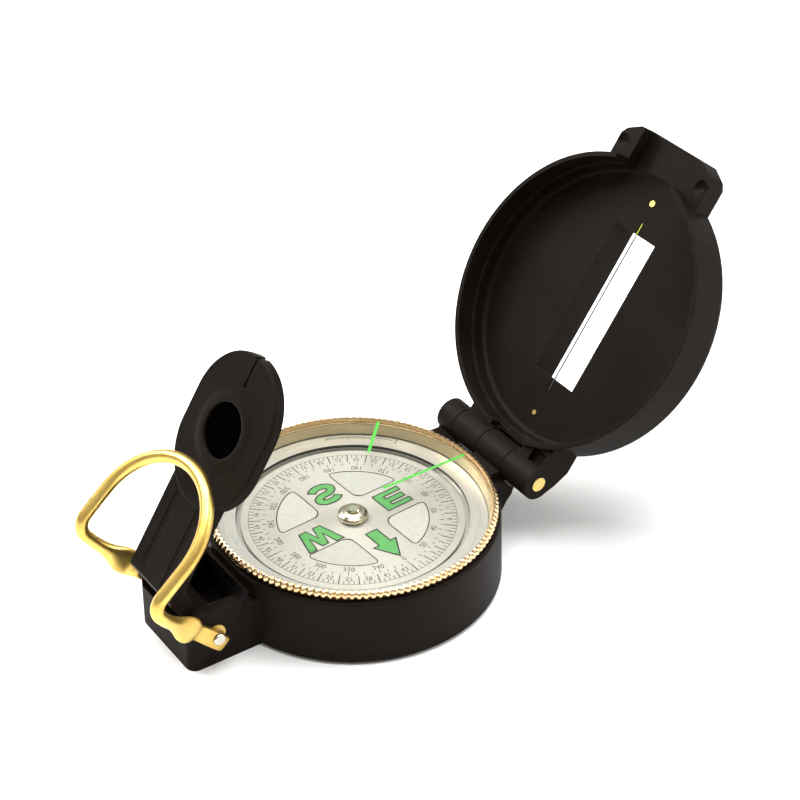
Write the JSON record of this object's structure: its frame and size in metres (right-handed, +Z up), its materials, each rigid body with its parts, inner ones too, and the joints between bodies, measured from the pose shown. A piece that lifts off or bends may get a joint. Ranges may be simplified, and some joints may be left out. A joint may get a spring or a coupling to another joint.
{
  "type": "lensatic_sighting_compass",
  "caption": "Folding sighting compass with a slotted hinged lid, a sight wire, a lens arm, a knurled turning bezel, a floating dial card and a wire thumb loop",
  "frame": {"origin": "where the dial's pivot axis meets the case's flat underside", "axes": "+Z up along the dial's pivot axis, +Y in the sighting direction from the lens arm to the lid hinge, +X to the right of someone who sights along +Y; at rest the lid is open and the lens arm and the thumb loop are raised"},
  "size_m": [0.0564, 0.1227, 0.0666],
  "materials": {
    "black_case": "moulded, fine-grained satin black",
    "black_lid": "moulded, fine-grained satin black",
    "black_arm": "moulded, fine-grained satin black",
    "steel_screws": "plain",
    "rubber_gasket": "matt",
    "silver_capsule": "satin",
    "silver_flange": "satin",
    "turned_brass": "turned",
    "hard_steel": "polished",
    "silver_card": "printed, satin",
    "magnet_steel": "plain",
    "nickel_hub": "turned",
    "green_jewel": "polished",
    "gold_bezel": "bright machined",
    "clear_crystal": "clear",
    "spring_steel": "plain",
    "green_line": "luminous paint",
    "lens_glass": "polished",
    "bright_pin": "polished",
    "brass_loop": "bright"
  },
  "bodies": {
    "case": {"case_shell": "black_case", "case_screws": "steel_screws", "bowl_gasket": "rubber_gasket", "capsule_bowl": "silver_capsule", "flange_ring": "silver_flange", "pivot_post": "turned_brass", "pivot_tip": "hard_steel", "bezel_snap_ring": "spring_steel", "lid_hinge_pin": "turned_brass", "arm_pin": "bright_pin", "arm_spring": "spring_steel", "loop_washers": "turned_brass"},
    "card": {"dial_card": "silver_card", "card_magnet": "magnet_steel", "card_hub": "nickel_hub", "jewel_cup": "green_jewel"},
    "bezel": {"bezel_ring": "gold_bezel", "bezel_crystal": "clear_crystal", "crystal_gasket": "rubber_gasket", "bezel_line_long": "green_line", "bezel_line_short": "green_line"},
    "lid": {"lid_shell": "black_lid", "sight_wire": "spring_steel", "wire_pins": "turned_brass"},
    "eyepiece": {"eyepiece_arm": "black_arm", "eyepiece_lens": "lens_glass", "lens_retainer": "turned_brass"},
    "loop": {"thumb_loop": "brass_loop"}
  },
  "joints": [
    {"name": "lid_hinge", "type": "hinge", "parent": "case", "child": "lid", "pos_m": [0, 0.0318, 0.01375], "axis": [1, 0, 0], "range_deg": [0, 124.5]},
    {"name": "eyepiece_hinge", "type": "hinge", "parent": "case", "child": "eyepiece", "pos_m": [0, -0.0346, 0.0067], "axis": [-1, 0, 0], "range_deg": [0, 58.3]},
    {"name": "loop_pivot", "type": "hinge", "parent": "case", "child": "loop", "pos_m": [0, -0.0346, 0.0067], "axis": [1, 0, 0], "range_deg": [-2, 55]},
    {"name": "bezel_turn", "type": "hinge", "parent": "case", "child": "bezel", "pos_m": [0, 0, 0.0144], "axis": [0, 0, 1], "continuous": true},
    {"name": "card_turn", "type": "hinge", "parent": "case", "child": "card", "pos_m": [0, 0, 0.01195], "axis": [0, 0, 1], "continuous": true}
  ],
  "couplings": [
    {"joint": "eyepiece_hinge", "follows": "lid_hinge", "ratio": 0.46827}
  ]
}
